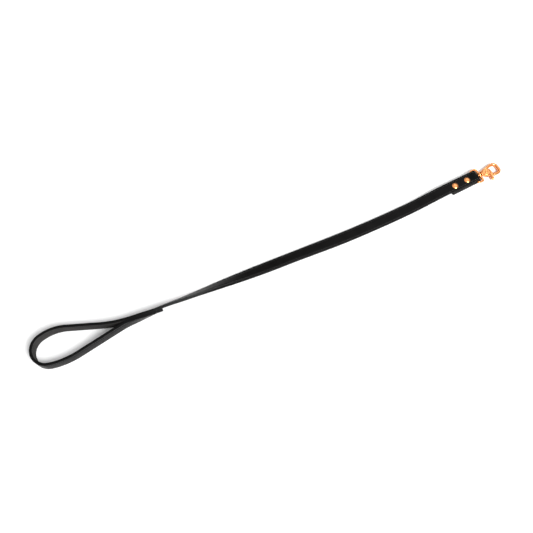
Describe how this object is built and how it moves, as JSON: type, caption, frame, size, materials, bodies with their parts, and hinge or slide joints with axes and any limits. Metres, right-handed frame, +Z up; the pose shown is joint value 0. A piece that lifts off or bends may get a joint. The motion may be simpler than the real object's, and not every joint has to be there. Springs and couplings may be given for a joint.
{
  "type": "hand loop lead",
  "caption": "Flat black leather lead with a stitched hand loop at one end and a riveted swivel trigger snap at the other.",
  "frame": {"origin": "middle of the lead's footprint, on the ground it lies on", "axes": "+X along the lead towards the snap, +Z up, +Y to the side the hand loop's far leg bows to"},
  "size_m": [0.8653, 0.0992, 0.022],
  "materials": {
    "grain_leather": "satin",
    "lining_leather": "matt",
    "thread": "waxed",
    "rose_gold": "polished rose gold plate",
    "spring_steel": "drawn wire"
  },
  "bodies": {
    "strap": {"strap_grain_ply": "grain_leather", "strap_lining_ply": "lining_leather", "edge_stitching_left": "thread", "edge_stitching_right": "thread", "loop_lock_stitching": "thread", "rear_rivet_cap": "rose_gold", "rear_rivet_post": "rose_gold", "front_rivet_cap": "rose_gold", "front_rivet_post": "rose_gold"},
    "eye": {"swivel_eye": "rose_gold"},
    "hook": {"snap_hook": "rose_gold", "pivot_pin": "rose_gold", "trigger_spring": "spring_steel"},
    "trigger": {"trigger_gate": "rose_gold"}
  },
  "joints": [
    {"name": "eye_swing", "type": "hinge", "parent": "strap", "child": "eye", "pos_m": [0.3784, -0.0295, 0.00627], "axis": [0, 1, 0], "range_deg": [-100, 90]},
    {"name": "hook_swivel", "type": "hinge", "parent": "eye", "child": "hook", "pos_m": [0.39338, -0.0295, 0.00543], "axis": [0.9984, 0, -0.0558], "continuous": true},
    {"name": "trigger_press", "type": "hinge", "parent": "hook", "child": "trigger", "pos_m": [0.40286, -0.031, 0.0049], "axis": [-0.0558, 0, -0.9984], "range_deg": [0, 30], "stiffness_Nm_per_rad": 0.08, "springref_deg": -34.38, "deforming": ["trigger_spring"]}
  ]
}
